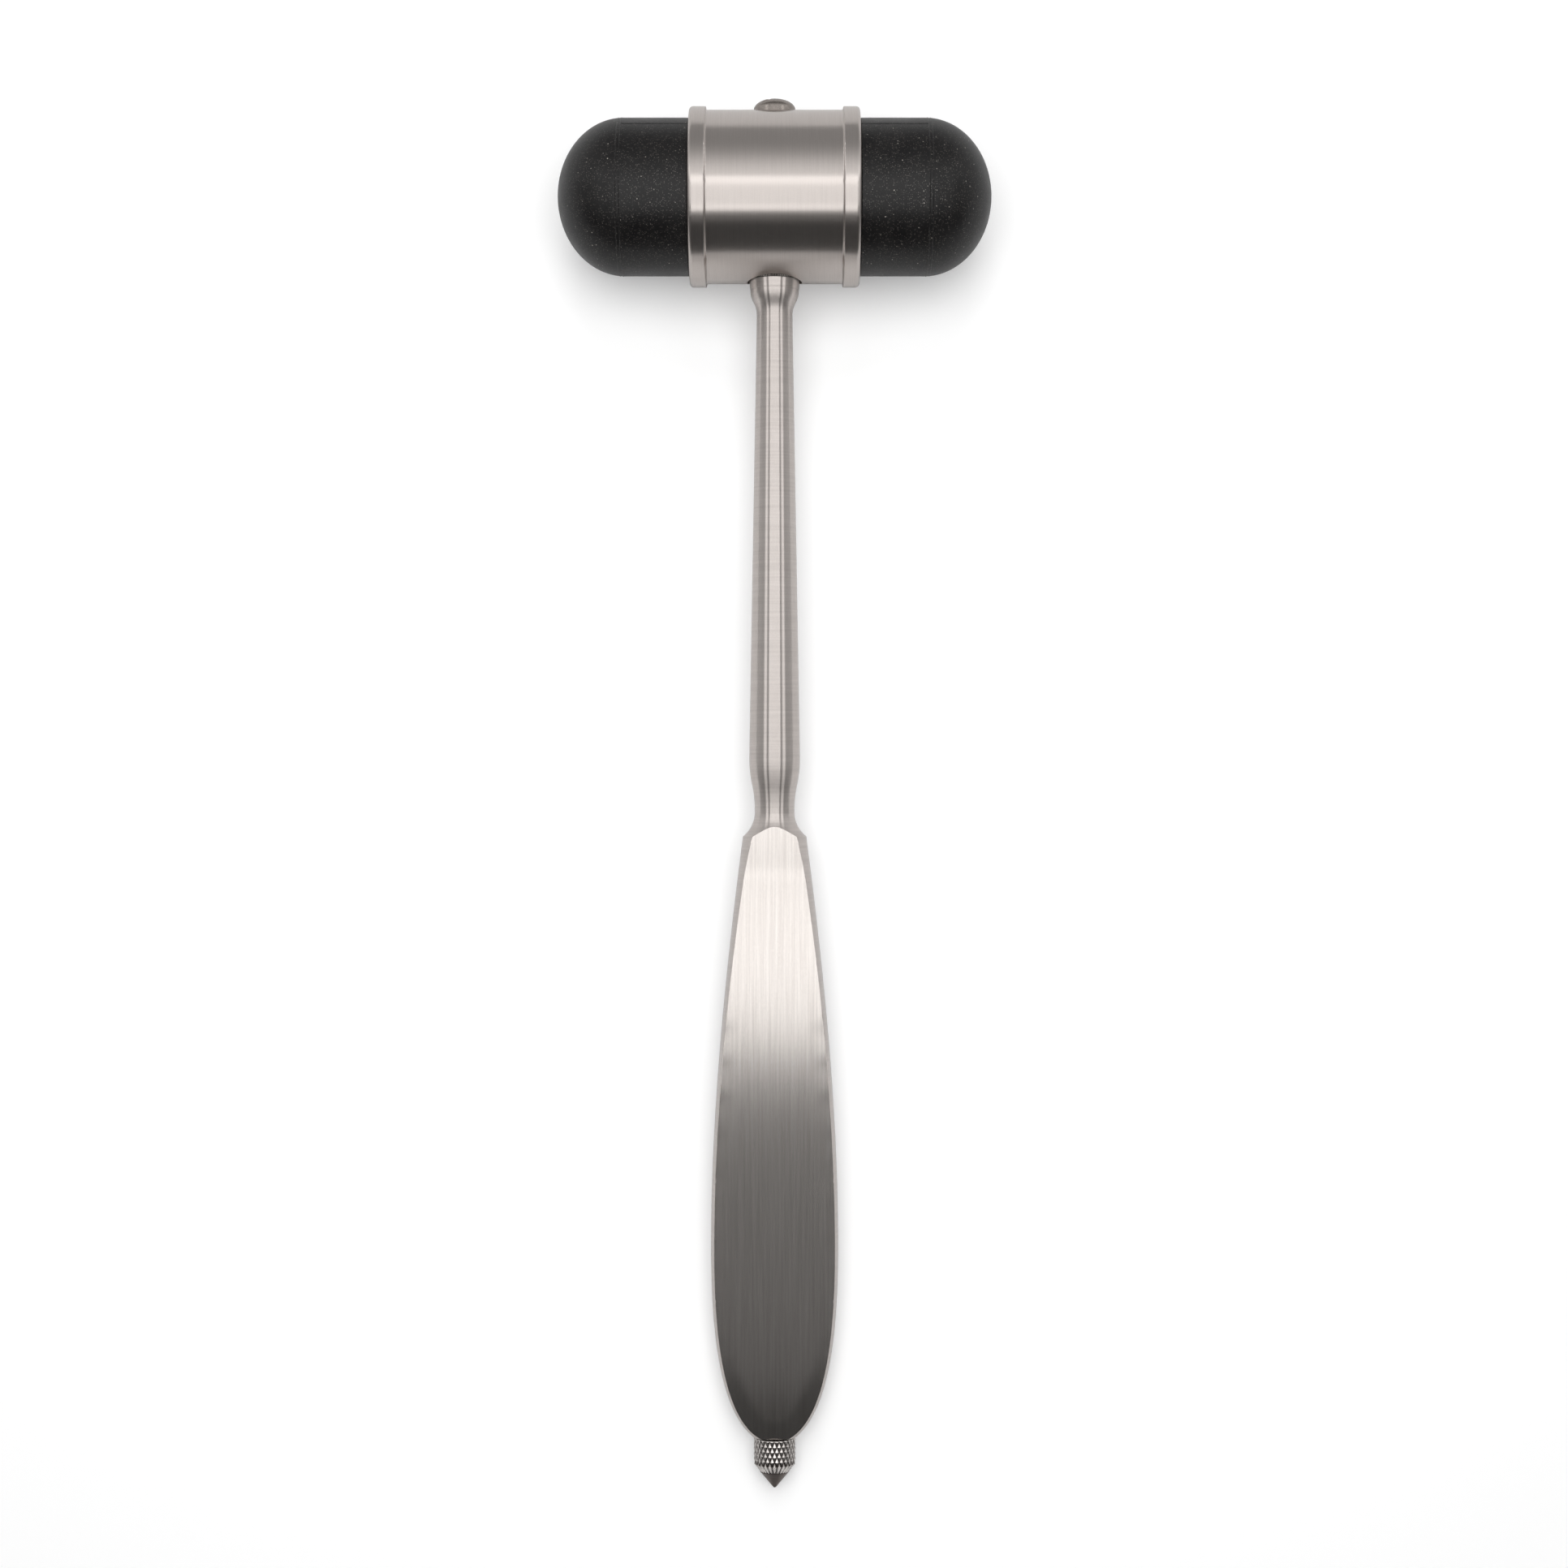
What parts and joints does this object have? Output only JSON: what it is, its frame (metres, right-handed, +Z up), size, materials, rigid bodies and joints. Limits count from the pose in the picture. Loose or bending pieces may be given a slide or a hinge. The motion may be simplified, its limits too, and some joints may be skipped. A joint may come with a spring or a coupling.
{
  "type": "reflex hammer",
  "caption": "Steel reflex hammer with a cross head, two domed rubber bumpers, a flattened grip and a pointed needle that screws out of the handle's end",
  "frame": {"origin": "on the surface the hammer lies on, under the middle of the whole tool", "axes": "+Y from the grip towards the head, +X along the head to the right, +Z up; the handle's axis leans 3.09 degrees down towards the needle's knob"},
  "size_m": [0.0624, 0.1996, 0.0256],
  "materials": {
    "sleeve_steel": "stainless steel, brushed round the tube",
    "bumper_rubber": "matt moulded rubber with fine pale specks",
    "turned_steel": "as turned",
    "washer_steel": "burnished spring steel",
    "screw_steel": "satin stainless steel",
    "handle_steel": "stainless steel, turned above and ground lengthwise on the flats",
    "knob_steel": "diamond-knurled stainless steel with a plain dark point",
    "pin_steel": "polished hardened steel"
  },
  "bodies": {
    "hammer": {"handle": "handle_steel", "head_sleeve": "sleeve_steel", "bumper_left": "bumper_rubber", "bumper_right": "bumper_rubber", "core_spacer": "turned_steel", "lock_washer": "washer_steel", "head_screw": "screw_steel"},
    "needle": {"needle_pin": "pin_steel"},
    "knob": {"needle_knob": "knob_steel"}
  },
  "joints": [
    {"name": "needle_draw", "type": "slide", "parent": "hammer", "child": "needle", "axis": [0, -0.9985, -0.0539], "range_m": [0, 0.0063]},
    {"name": "knob_turn", "type": "hinge", "parent": "needle", "child": "knob", "pos_m": [0, -0.09403, 0.0031], "axis": [0, -0.9985, -0.0539], "range_deg": [0, 3240]}
  ],
  "couplings": [
    {"joint": "knob_turn", "follows": "needle_draw", "rad_per_m": 8975.9}
  ]
}
